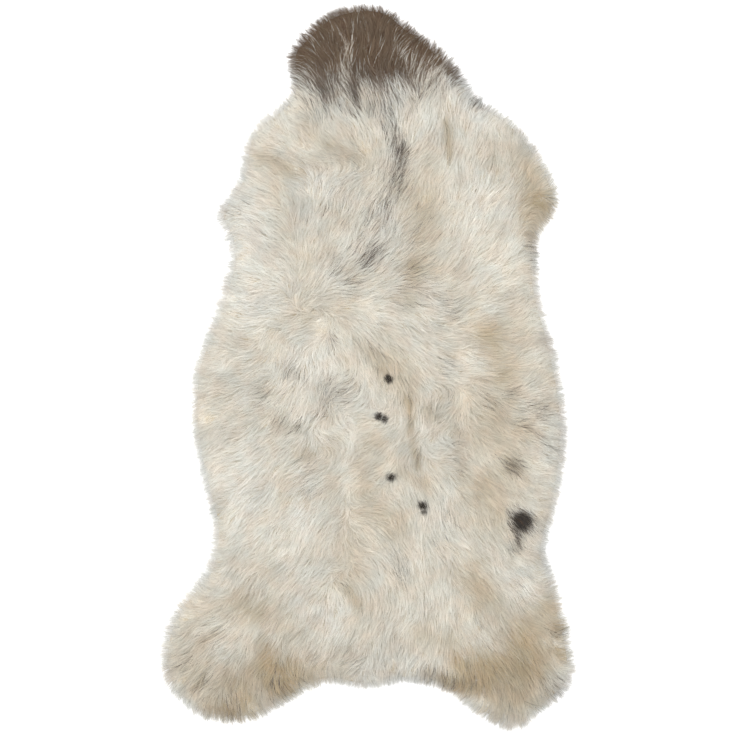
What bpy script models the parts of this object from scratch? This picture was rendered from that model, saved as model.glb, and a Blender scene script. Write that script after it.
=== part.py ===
"""A sheepskin lying flat with its wool up: a tanned hide and the fleece that grows from it.

Metres, +Z up. The neck points along +Y and the hind legs along -Y. The origin is under the
middle of the skin, on the surface that it lies on.
"""

import math
import random
from collections import namedtuple

import bmesh
import bpy
from mathutils import Quaternion, Vector, noise

CM = 0.01
MM = 0.001

# The hide is a thin sheet, and the wool grows out past its edge and down to the floor
HIDE_THICKNESS = 2.0 * MM
WOOL_PAST_HIDE = 21.0 * MM
CLEARANCE = 0.3 * MM

# The fleece: a low wall of wool at the rim, two rounded steps up, then the open pile
PILE_HEIGHT = 30.0 * MM
LOCKS = 264
WALL_HEIGHT = 9.0 * MM
WALL_IN = 12.0 * MM
SHOULDER_IN = 19.0 * MM
SHOULDER_SHARE = 0.62
CROWN_IN = 28.0 * MM
CROWN_SHARE = 0.88
PILE_CELL = 15.0 * MM
CUT_SNAP = 3.0 * MM

# The pile's unevenness: broad swells, and lumps where the wool has gathered
SWELL_LENGTH = 150.0 * MM
SWELL_RISE = 7.0 * MM
LUMP_LENGTH = 42.0 * MM
LUMP_RISE = 8.0 * MM
LUMP_LAYER = 294.0 * MM

# A lock's width and height where it bends and at its tip, as shares of its root
LOCK_BEND = 0.55
BEND_WIDTH = 0.66
BEND_HEIGHT = 0.6
TIP_WIDTH = 0.2
TIP_HEIGHT = 0.22
TIP_SWING = 0.1
LOCK_LENGTH_SPREAD = 0.22
LOCK_LEAN_SPREAD = math.radians(8)
LOCK_SEED = 3

# How finely the wool's edge is followed, and how it is kept round as it is drawn inwards
EDGE_STEPS = 24
DRAW_IN_STEP = 2.0 * MM
DRAW_IN_EASE = 0.2

# Tanned leather and cream wool
HIDE_COLOR = (0.67, 0.55, 0.38)
HIDE_ROUGHNESS = 0.85
WOOL_COLOR = (0.61, 0.58, 0.49)
WOOL_ROUGHNESS = 0.9
CREASE_ANGLE = math.radians(60)

# The wool's edge, clockwise from the neck. Points are centimetres across and along the skin.
# Each stretch has its locks' length, and how far they lean along the edge from straight out.
Stretch = namedtuple("Stretch", "name lock_mm lean_deg points")
EDGE = (
    Stretch("neck end", 13, 0,
            ((-5.7, 53.8), (-2.6, 54.7), (0.7, 54.9), (3.4, 54.3), (5.3, 52.6))),
    Stretch("right of the neck", 18, -15,
            ((8.0, 50.4), (11.0, 48.0), (13.7, 45.3), (15.6, 42.5), (16.6, 40.6))),
    Stretch("right shoulder", 15, -12,
            ((18.6, 39.7), (21.9, 37.5), (25.1, 34.0), (27.4, 30.1))),
    Stretch("right foreleg", 15, 10,
            ((29.0, 26.7), (29.3, 24.8), (28.2, 22.6), (25.7, 19.3))),
    Stretch("right flank", 15, 12,
            ((26.1, 16.8), (25.8, 13.8), (26.6, 9.5), (28.4, 2.9), (29.8, -4.4),
             (30.2, -9.8), (29.8, -15.6), (28.4, -22.5), (27.0, -27.8))),
    Stretch("right hind leg", 15, 8,
            ((28.1, -31.3), (29.9, -37.6), (31.3, -44.4), (31.0, -47.9), (29.0, -50.2),
             (26.6, -51.8), (24.3, -54.1), (22.1, -55.0), (19.0, -54.1), (16.0, -52.4),
             (13.8, -50.5))),
    Stretch("tail edge", 13, 0,
            ((11.3, -48.8), (8.2, -48.2), (5.1, -47.7), (2.0, -48.5), (-1.1, -48.9),
             (-3.9, -48.2), (-6.5, -47.8))),
    Stretch("left hind leg", 16, -8,
            ((-8.9, -49.0), (-13.4, -51.6), (-18.0, -53.8), (-21.5, -53.6), (-24.8, -53.3),
             (-27.3, -51.8), (-29.8, -49.4), (-31.1, -46.5), (-31.4, -43.4), (-30.8, -39.7),
             (-28.4, -35.0), (-24.9, -31.1))),
    Stretch("left flank", 16, -14,
            ((-23.9, -28.0), (-23.6, -24.0), (-25.0, -18.3), (-26.6, -11.0), (-26.9, -5.3),
             (-26.4, 0.5), (-23.6, 7.4), (-21.3, 15.0))),
    Stretch("left foreleg", 16, 0,
            ((-21.2, 18.7), (-22.5, 21.3), (-23.3, 23.0), (-22.1, 25.2), (-20.4, 27.3))),
    Stretch("left shoulder", 15, 14,
            ((-19.2, 30.2), (-19.0, 33.7), (-17.2, 36.9), (-14.5, 38.8), (-12.1, 40.8))),
    Stretch("left of the neck", 17, 10,
            ((-11.8, 43.1), (-12.2, 45.8), (-11.9, 48.5), (-10.0, 49.9), (-8.5, 51.8))),
)

# Where the wool parts and its top sinks between two locks: ends in centimetres, size in mm
Parting = namedtuple("Parting", "name start end depth_mm width_mm")
PARTINGS = (
    Parting("beside the left shoulder", (-8.2, 30.0), (-9.2, 19.5), 5, 22),
    Parting("inside the left foreleg", (-9.6, 20.5), (-12.0, 10.4), 5, 22),
    Parting("down the right shoulder", (12.8, 38.5), (14.5, 6.0), 4, 26),
    Parting("middle of the back", (6.0, -7.4), (7.6, -15.2), 6, 20),
    Parting("right of the back", (13.2, -6.2), (11.2, -5.0), 4, 18),
    Parting("swirl on the left", (-6.5, -2.6), (-3.8, -4.6), 5, 22),
    Parting("low on the back", (-3.8, -33.0), (-1.2, -35.6), 4, 20),
    Parting("left hind leg, outer", (-29.0, -44.0), (-23.5, -46.5), 6, 18),
    Parting("left hind leg, lower", (-27.5, -50.0), (-24.5, -46.5), 6, 18),
    Parting("right hind leg", (25.5, -41.5), (29.0, -47.6), 5, 18),
)


def spline_point(before, start, end, after, share):
    """A point on the smooth curve that passes through start and end."""
    pull_in = (end - before) * 0.5
    pull_out = (after - start) * 0.5
    square = share * share
    cube = square * share
    return (start * (2 * cube - 3 * square + 1) + pull_in * (cube - 2 * square + share)
            + end * (3 * square - 2 * cube) + pull_out * (cube - square))


def trace_edge():
    """The wool's whole edge as a fine closed line, with the stretch that each point is in."""
    corners = []
    for stretch in EDGE:
        for across, along in stretch.points:
            corners.append((Vector((across * CM, along * CM)), stretch))
    line = []
    for number, (start, stretch) in enumerate(corners):
        before = corners[number - 1][0]
        end = corners[(number + 1) % len(corners)][0]
        after = corners[(number + 2) % len(corners)][0]
        for step in range(EDGE_STEPS):
            line.append((spline_point(before, start, end, after, step / EDGE_STEPS), stretch))
    return line


def even_steps(line, count):
    """The same closed line cut into a number of equal steps."""
    lengths = [(line[n][0] - line[n - 1][0]).length for n in range(len(line))]
    step = sum(lengths) / count
    loop = []
    walked = 0.0
    for number, (point, stretch) in enumerate(line):
        before = line[number - 1][0]
        while len(loop) < count and walked + lengths[number] >= len(loop) * step:
            share = (len(loop) * step - walked) / max(lengths[number], 1e-9)
            loop.append((before.lerp(point, share), stretch))
        walked += lengths[number]
    return [point for point, _ in loop], [stretch for _, stretch in loop]


def outward(loop, number):
    """The direction straight out from a clockwise loop at one of its points."""
    along = loop[(number + 1) % len(loop)] - loop[number - 1]
    return Vector((-along.y, along.x)).normalized()


def drawn_in(loop, distance):
    """The loop moved inwards by a distance, in small steps that keep its corners round."""
    steps = max(1, round(distance / DRAW_IN_STEP))
    step = distance / steps
    for _ in range(steps):
        moved = [point - outward(loop, n) * step for n, point in enumerate(loop)]
        loop = []
        for n, point in enumerate(moved):
            middle = (moved[n - 1] + moved[(n + 1) % len(moved)]) * 0.5
            loop.append(point.lerp(middle, DRAW_IN_EASE * step / DRAW_IN_STEP))
    return loop


def add_ring(bm, loop, height):
    """A flat face that fills a loop, and its corners in the loop's order."""
    ring = [bm.verts.new((point.x, point.y, height)) for point in loop]
    return bm.faces.new(ring), ring


def matched(corners, face):
    """The corners of a newly extruded face, in the order of those that it grew from."""
    at = {corner.co.copy().freeze(): corner for corner in face.verts}
    return [at[corner.co.copy().freeze()] for corner in corners]


def step_ring(bm, face, ring, loop, heights, keep=False):
    """Extrude a face and bring its corners onto another loop, each at its own height."""
    grown = bmesh.ops.extrude_face_region(bm, geom=[face])["geom"]
    new_face = next(item for item in grown if isinstance(item, bmesh.types.BMFace))
    new_ring = matched(ring, new_face)
    for corner, point, height in zip(new_ring, loop, heights):
        corner.co = (point.x, point.y, height)
    if not keep:
        bm.faces.remove(face)
    return new_face, new_ring


def parting_drop(place):
    """How far the pile sinks at a place because of the partings near it."""
    drop = 0.0
    for parting in PARTINGS:
        start = Vector(parting.start) * CM
        run = Vector(parting.end) * CM - start
        share = max(0.0, min(1.0, (place - start).dot(run) / run.length_squared))
        away = (place - start - run * share).length
        half = parting.width_mm * MM * 0.5
        drop = max(drop, parting.depth_mm * MM * math.exp(-(away / half) ** 2))
    return drop


def pile_height(place):
    """The height of the open pile over one place on the skin."""
    swell = noise.noise(Vector((place.x, place.y, 0.0)) / SWELL_LENGTH) * SWELL_RISE
    lump = noise.noise(Vector((place.x, place.y, LUMP_LAYER)) / LUMP_LENGTH) * LUMP_RISE
    return PILE_HEIGHT + swell + lump - parting_drop(place)


def plain_material(name, color, roughness):
    """A plain Principled material for one of the two layers."""
    material = bpy.data.materials.new(name)
    material.use_nodes = True
    shader = material.node_tree.nodes["Principled BSDF"]
    shader.inputs["Base Color"].default_value = (*color, 1.0)
    shader.inputs["Roughness"].default_value = roughness
    shader.inputs["Metallic"].default_value = 0.0
    return material


def new_object(name, bm, material):
    """Turn a finished bmesh into a named object of the scene."""
    bmesh.ops.recalc_face_normals(bm, faces=bm.faces)
    bmesh.ops.triangulate(bm, faces=bm.faces, quad_method="SHORT_EDGE")
    mesh = bpy.data.meshes.new(name)
    bm.to_mesh(mesh)
    bm.free()
    mesh.materials.append(material)
    mesh.shade_smooth()
    mesh.set_sharp_from_angle(angle=CREASE_ANGLE)
    piece = bpy.data.objects.new(name, mesh)
    bpy.context.scene.collection.objects.link(piece)
    return piece


def build_hide(edge):
    """The tanned leather: one flat sheet with the skin's outline, inside the wool's edge."""
    loop = drawn_in(drawn_in(edge, WOOL_PAST_HIDE), CLEARANCE)
    bm = bmesh.new()
    flesh_side, ring = add_ring(bm, loop, 0.0)
    step_ring(bm, flesh_side, ring, loop, [HIDE_THICKNESS] * len(loop), keep=True)
    return new_object("hide", bm, plain_material("hide", HIDE_COLOR, HIDE_ROUGHNESS))


def shape_lock(bm, root, heading, length, swing):
    """Draw one lock out of a piece of the rim's wall: a bend, then a tip, resting level."""
    side = heading.cross(Vector((0.0, 0.0, 1.0)))
    middle = root.calc_center_median()
    corners = list(root.verts)
    starts = [corner.co.copy() for corner in corners]
    stages = ((LOCK_BEND, 0.0, BEND_WIDTH, BEND_HEIGHT), (1.0, swing, TIP_WIDTH, TIP_HEIGHT))
    face = root
    for reach, aside, width, height in stages:
        face = bmesh.ops.extrude_discrete_faces(bm, faces=[face])["faces"][0]
        corners = matched(corners, face)
        spine = middle + (heading * reach + side * aside) * length
        for corner, start in zip(corners, starts):
            place = spine + side * ((start - middle).dot(side) * width)
            corner.co = (place.x, place.y, start.z * height)


def grow_locks(bm, foot, foot_ring, loop, stretches):
    """Draw a lock out of every face of the wall that stands on the foot's ring."""
    walls = []
    for number, corner in enumerate(foot_ring):
        base = bm.edges.get((corner, foot_ring[(number + 1) % len(foot_ring)]))
        walls.append(next(face for face in base.link_faces if face is not foot))
    chance = random.Random(LOCK_SEED)
    for number, root in enumerate(walls):
        out = outward(loop, number).to_3d()
        lean = math.radians(stretches[number].lean_deg) + chance.uniform(-1, 1) * LOCK_LEAN_SPREAD
        out.rotate(Quaternion((0.0, 0.0, 1.0), -lean))
        spread = 1.0 + chance.uniform(-1, 1) * LOCK_LENGTH_SPREAD
        length = stretches[number].lock_mm * MM * spread
        shape_lock(bm, root, out, length, chance.uniform(-1, 1) * TIP_SWING)


def raise_pile(bm, crown):
    """Cut the top face into small cells and lift them to the pile's uneven height."""
    geometry = [crown, *crown.edges, *crown.verts]
    low = [min(corner.co[axis] for corner in crown.verts) for axis in (0, 1)]
    high = [max(corner.co[axis] for corner in crown.verts) for axis in (0, 1)]
    for axis in (0, 1):
        normal = Vector((axis == 0, axis == 1, 0.0))
        for cut in range(1, math.ceil((high[axis] - low[axis]) / PILE_CELL)):
            point = normal * (low[axis] + cut * PILE_CELL)
            geometry = bmesh.ops.bisect_plane(bm, geom=geometry, dist=CUT_SNAP, plane_co=point,
                                              plane_no=normal)["geom"]
    cells = {item for item in geometry if isinstance(item, bmesh.types.BMFace)}
    for corner in {corner for cell in cells for corner in cell.verts}:
        if cells.issuperset(corner.link_faces):
            corner.co.z = pile_height(corner.co.xy)


def build_fleece(edge, stretches):
    """The wool: a lumpy slab over the hide, with locks drawn out of its rim."""
    wall_loop = drawn_in(edge, WALL_IN)
    shoulder_loop = drawn_in(edge, SHOULDER_IN)
    crown_loop = drawn_in(edge, CROWN_IN)
    pocket_loop = drawn_in(edge, WOOL_PAST_HIDE)
    pocket_height = HIDE_THICKNESS + CLEARANCE
    bm = bmesh.new()
    foot, foot_ring = add_ring(bm, wall_loop, 0.0)
    top, ring = step_ring(bm, foot, foot_ring, wall_loop, [WALL_HEIGHT] * LOCKS, keep=True)
    grow_locks(bm, foot, foot_ring, wall_loop, stretches)
    for loop, share in ((shoulder_loop, SHOULDER_SHARE), (crown_loop, CROWN_SHARE)):
        heights = [pile_height(point) * share for point in loop]
        top, ring = step_ring(bm, top, ring, loop, heights)
    foot, foot_ring = step_ring(bm, foot, foot_ring, pocket_loop, [0.0] * LOCKS)
    step_ring(bm, foot, foot_ring, pocket_loop, [pocket_height] * LOCKS)
    raise_pile(bm, top)
    return new_object("fleece", bm, plain_material("fleece", WOOL_COLOR, WOOL_ROUGHNESS))


def centre(pieces):
    """Move the pieces together so that the middle of their box is over the origin."""
    corners = [corner.co for piece in pieces for corner in piece.data.vertices]
    for axis in (0, 1):
        places = [corner[axis] for corner in corners]
        middle = (min(places) + max(places)) * 0.5
        for corner in corners:
            corner[axis] -= middle


def main():
    """Clear the scene, build both layers and centre them."""
    for piece in list(bpy.data.objects):
        bpy.data.objects.remove(piece, do_unlink=True)
    edge, stretches = even_steps(trace_edge(), LOCKS)
    centre([build_hide(edge), build_fleece(edge, stretches)])


main()
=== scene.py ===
"""The looks of a sheepskin that lies flat with its wool up: tanned leather, underwool and combed wool.

Metres, +Z up. The neck points along +Y and the hind legs along -Y.
"""

import functools
import math
from collections import namedtuple

import bmesh
import bpy
import numpy as np
from bpy.props import (FloatProperty, FloatVectorProperty, IntProperty, PointerProperty)
from mathutils import Matrix, Vector
from mathutils.bvhtree import BVHTree


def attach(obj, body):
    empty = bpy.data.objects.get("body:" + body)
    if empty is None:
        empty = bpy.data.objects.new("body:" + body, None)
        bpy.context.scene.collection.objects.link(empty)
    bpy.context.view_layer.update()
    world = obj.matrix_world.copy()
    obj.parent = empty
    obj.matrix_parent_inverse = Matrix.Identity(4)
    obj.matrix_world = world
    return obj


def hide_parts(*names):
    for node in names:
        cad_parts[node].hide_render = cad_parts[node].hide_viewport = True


bl_info = {
    "name": "Sheepskin",
    "version": (1, 0, 0),
    "blender": (4, 5, 0),
    "location": "View3D > Sidebar > Sheepskin",
    "description": "Leather, underwool and combed wool of a sheepskin rug",
    "category": "Object",
}

CM = 0.01
MM = 0.001

# The camera looks straight down on the middle of the skin
CAMERA_PLACE = (0.45 * MM, -0.36 * MM, 3.2)
FRAME_WIDTH = 1.1121
SENSOR_WIDTH = 36.0

# The floor, and the soft lamp over the left of the neck
FLOOR_HALF = 3.0
FLOOR_DROP = 0.2 * MM
LAMP_PLACE = (-0.35, 0.45, 3.0)
LAMP_SIZE = 2.6

# The fixed solids give the wool its rim, its locks' reach and its height
WALL_TOP = 9.0 * MM
LOCK_TIP_TOP = 1.98 * MM
LEVEL_SLACK = 0.05 * MM
MERGE = 0.001 * MM
HIDE_TOP = 2.0 * MM

# The grid that carries the wool's height and combing, and how far it goes past the skin
GRID_CELL = 4.0 * MM
GRID_MARGIN = 30.0 * MM
HEIGHT_ROUNDS = 2
COMBING_ROUNDS = 10
UNSURE_TURN = 3.0
RAY_START = 0.2

# The wool's height from past its rim to the open pile, as a share of the open pile
RIM_IN_MM = (-24, -18, -12, -6, 0, 7, 16, 28)
RIM_SHARE = (0.02, 0.04, 0.085, 0.2, 0.38, 0.64, 0.9, 1.0)
OPEN_PILE_IN = 20.0 * MM
FLOOR_GAP = 0.4 * MM

# How the combing turns outwards near the rim
TURN_FROM = 26.0 * MM
TURN_TO = 2.0 * MM
LOCK_SMOOTHING = 2

# How a strand rises from its root to its tip, as shares of the wool's height under each point
STRAND_POINTS = 4
RISE = (0.5, 0.22, 0.06, -0.02)
LAYER_DEPTH = 0.26
STRAND_WIDTHS = (0.9, 1.0, 0.7)
ROLL = math.radians(38)
ANCHOR_IN = -6.0 * MM

# What strands gather in, from broad to fine: how far they pull to its point, how far it turns
# from the combing, how its length and shade vary, and how far it stands up or lies down.
Gather = namedtuple("Gather", "name size_mm pinch turn_deg length shade rise_mm")
GATHERS = (
    Gather("swathe", 27, 0.00, 9, 0.08, 0.05, 1.6),
    Gather("tuft", 9, 0.20, 7, 0.08, 0.05, 0.9),
    Gather("lock", 2.6, 0.42, 5, 0.10, 0.08, 0.4),
)
STRAND_TURN = math.radians(6)

# Where the wool is long and hangs in heavy tufts: ends in centimetres, width in mm, how much
Shag = namedtuple("Shag", "name start end width_mm amount")
SHAGS = (
    Shag("left hind leg", (-25.5, -42.0), (-20.0, -49.5), 150, 1.0),
    Shag("right hind leg", (25.0, -42.0), (22.5, -50.0), 130, 0.8),
    Shag("right foreleg", (25.5, 28.0), (26.5, 22.0), 80, 0.5),
    Shag("neck", (-5.0, 50.0), (6.0, 49.0), 130, 0.3),
)
SHAG_PINCH = 1.6
SHAG_RISE = 1.6
SHAG_LENGTH = 0.35

# Reading chart of the combing: degrees from straight right, 90 is towards the neck.
# The readings of a section start at left_cm and are CHART_STEP apart.
CHART_STEP = 3.022 * CM
Section = namedtuple("Section", "along_cm left_cm headings")
COMBING = (
    Section(51.0, -10.3, (122, 115, 108, 94, 80, 70, 64, 54)),
    Section(46.5, -10.3, (130, 124, 110, 91, 62, 60, 65, 55)),
    Section(43.5, -10.3, (131, 120, 106, 128, 133, 110, 75, 66, 100)),
    Section(40.4, -10.3, (134, 129, 121, 108, 115, 114, 76, 69, 80, 118)),
    Section(37.4, -16.3, (142, 138, 135, 130, 125, 106, 100, 85, 76, 89, 80, 74, 85)),
    Section(34.4, -16.3, (153, 150, 127, 131, 138, 110, 98, 95, 60, 90, 100, 75, 95, 100)),
    Section(31.4, -19.3, (165, 165, 165, 165, 170, 178, 170, 90, 64, 62, 76, 80, 70, 93, 65, 105)),
    Section(28.4, -19.3, (165, 160, 155, 145, 55, 37, 15, 71, 56, 62, 64, 87, 84, 80, 64, 90)),
    Section(25.3, -22.3, (170, 165, 155, 150, 130, 60, 74, 75, 70, 55, 55, 60, 70, 60, 50, 40, -25)),
    Section(22.3, -22.3, (172, 160, 150, 138, 70, 55, 70, 70, 60, 60, 56, 60, 55, 60, 55, 46, 45)),
    Section(19.3, -19.3, (156, 145, 140, 75, 70, 70, 72, 65, 50, 45, 54, 60, 55, 50, 42, 48)),
    Section(16.3, -19.3, (142, 160, 140, 99, 65, 52, 48, 45, 37, 33, 46, 52, 50, 42, 47, 60)),
    Section(13.3, -19.3, (145, 170, 160, 80, 55, 37, 25, 30, 20, 25, 20, 45, 37, 35, 36, 45)),
    Section(10.2, -19.3, (168, 183, 192, 30, 15, 8, 18, 20, -13, -28, -5, 25, 20, 33, 22, 40)),
    Section(7.2, -22.3, (150, 157, 180, 180, 182, 205, 0, -38, -10, -25, -33, 20, 35, 17, 14, 20, 38)),
    Section(4.2, -22.3, (165, 160, 195, 265, 190, 210, -38, -70, -65, -43, -38, -25, -15, -4, 5, 27, 38)),
    Section(1.2, -22.3, (190, 185, 205, 255, 280, 295, -65, -58, -65, -40, -47, -30, -14, 0, -4, 15, 32)),
    Section(-1.8, -22.3, (189, 196, 220, 238, 245, 270, 210, 270, 278, 280, 298, 340, 3, -10, -8, 20, 35)),
    Section(-4.9, -22.3, (195, 200, 210, 235, 247, 290, 190, 220, 330, 262, 300, 240, 225, 325, 332, -5, 12)),
    Section(-7.9, -22.3, (205, 182, 215, 220, 225, 195, 350, 200, 180, 285, 255, 240, 240, 332, 328, -15, -7)),
    Section(-10.9, -22.3, (218, 200, 212, 215, 245, 320, 340, 208, 224, 230, 265, 35, 318, 324, 318, -33, -18)),
    Section(-13.9, -22.3, (205, 198, 210, 226, 217, 200, 218, 215, 212, 280, 270, 15, -50, -55, -40, -25, -8)),
    Section(-17.0, -22.3, (215, 220, 225, 236, 202, 215, 225, 195, 193, 285, 305, -50, -44, -55, -42, -45, 0)),
    Section(-20.0, -19.3, (212, 237, 236, 230, 230, 227, 350, 350, -62, -78, -58, -70, -58, -38, -40, -15)),
    Section(-23.0, -19.3, (227, 230, 250, 237, 245, 200, 340, -37, -58, -85, -62, -63, -65, -67, -55, -35)),
    Section(-26.0, -19.3, (214, 220, 235, 240, 250, 285, -30, -48, -62, -75, -60, -45, -60, -52, -50, -35)),
    Section(-29.0, -19.3, (233, 226, 223, 235, 225, 195, -27, -55, -70, -88, -70, -53, -60, -45, -30, -30)),
    Section(-32.1, -19.3, (240, 225, 223, 230, 210, 340, -35, -60, -80, -87, -97, -65, -45, -40, -45, -50)),
    Section(-35.1, -28.4, (225, 178, 210, 230, 226, 235, 236, 236, 300, 250, 273, 268, 280, 268, 280, 295,
                           298, -50, -35, -85)),
    Section(-38.1, -28.4, (225, 195, 217, 236, 235, 235, 230, 245, 235, 248, 248, 240, 250, 273, 270, 295,
                           -70, -48, -35, -75)),
    Section(-41.1, -28.4, (220, 215, 228, 232, 233, 238, 245, 230, 235, 245, 260, 270, 256, 273, 280, 295,
                           -55, -50, -53, -70)),
    Section(-44.2, -28.4, (185, 215, 228, 245, 240, 262, 265, 235, 220, 225, 255, 265, 245, 273, 290, 295,
                           -60, -53, -50, -55)),
    Section(-47.2, -25.4, (226, 240, 255, 275, 280, 295, 270, 250, 250, 265, 270, 270, 275, 278, 275, 290,
                           -65, -50, -30)),
    Section(-50.2, -25.4, (255, 250, 276, 276, 276, 290, 270, 265, 265, 270, 270, 270, 285, 295, 275, 290,
                           -60, -37)),
)

# Where the brown of the neck ends: centimetres across and along. Its share of the strands
# falls over the given distances past that line.
CAP_LINE = ((-12.5, 45.0), (-10.2, 42.9), (-8.4, 41.7), (-6.5, 41.1), (-4.5, 42.0), (-3.0, 41.7),
            (-1.8, 40.8), (-0.6, 42.6), (1.9, 41.7), (4.1, 42.6), (6.4, 42.7), (8.7, 43.0),
            (10.6, 44.1), (12.1, 45.3), (13.9, 45.6))
CAP_PAST_CM = (-5.5, -3.0, -1.5, 0.0, 1.6, 4.5)
CAP_SHARE = (0.0, 0.1, 0.24, 0.5, 0.8, 0.97)

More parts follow.
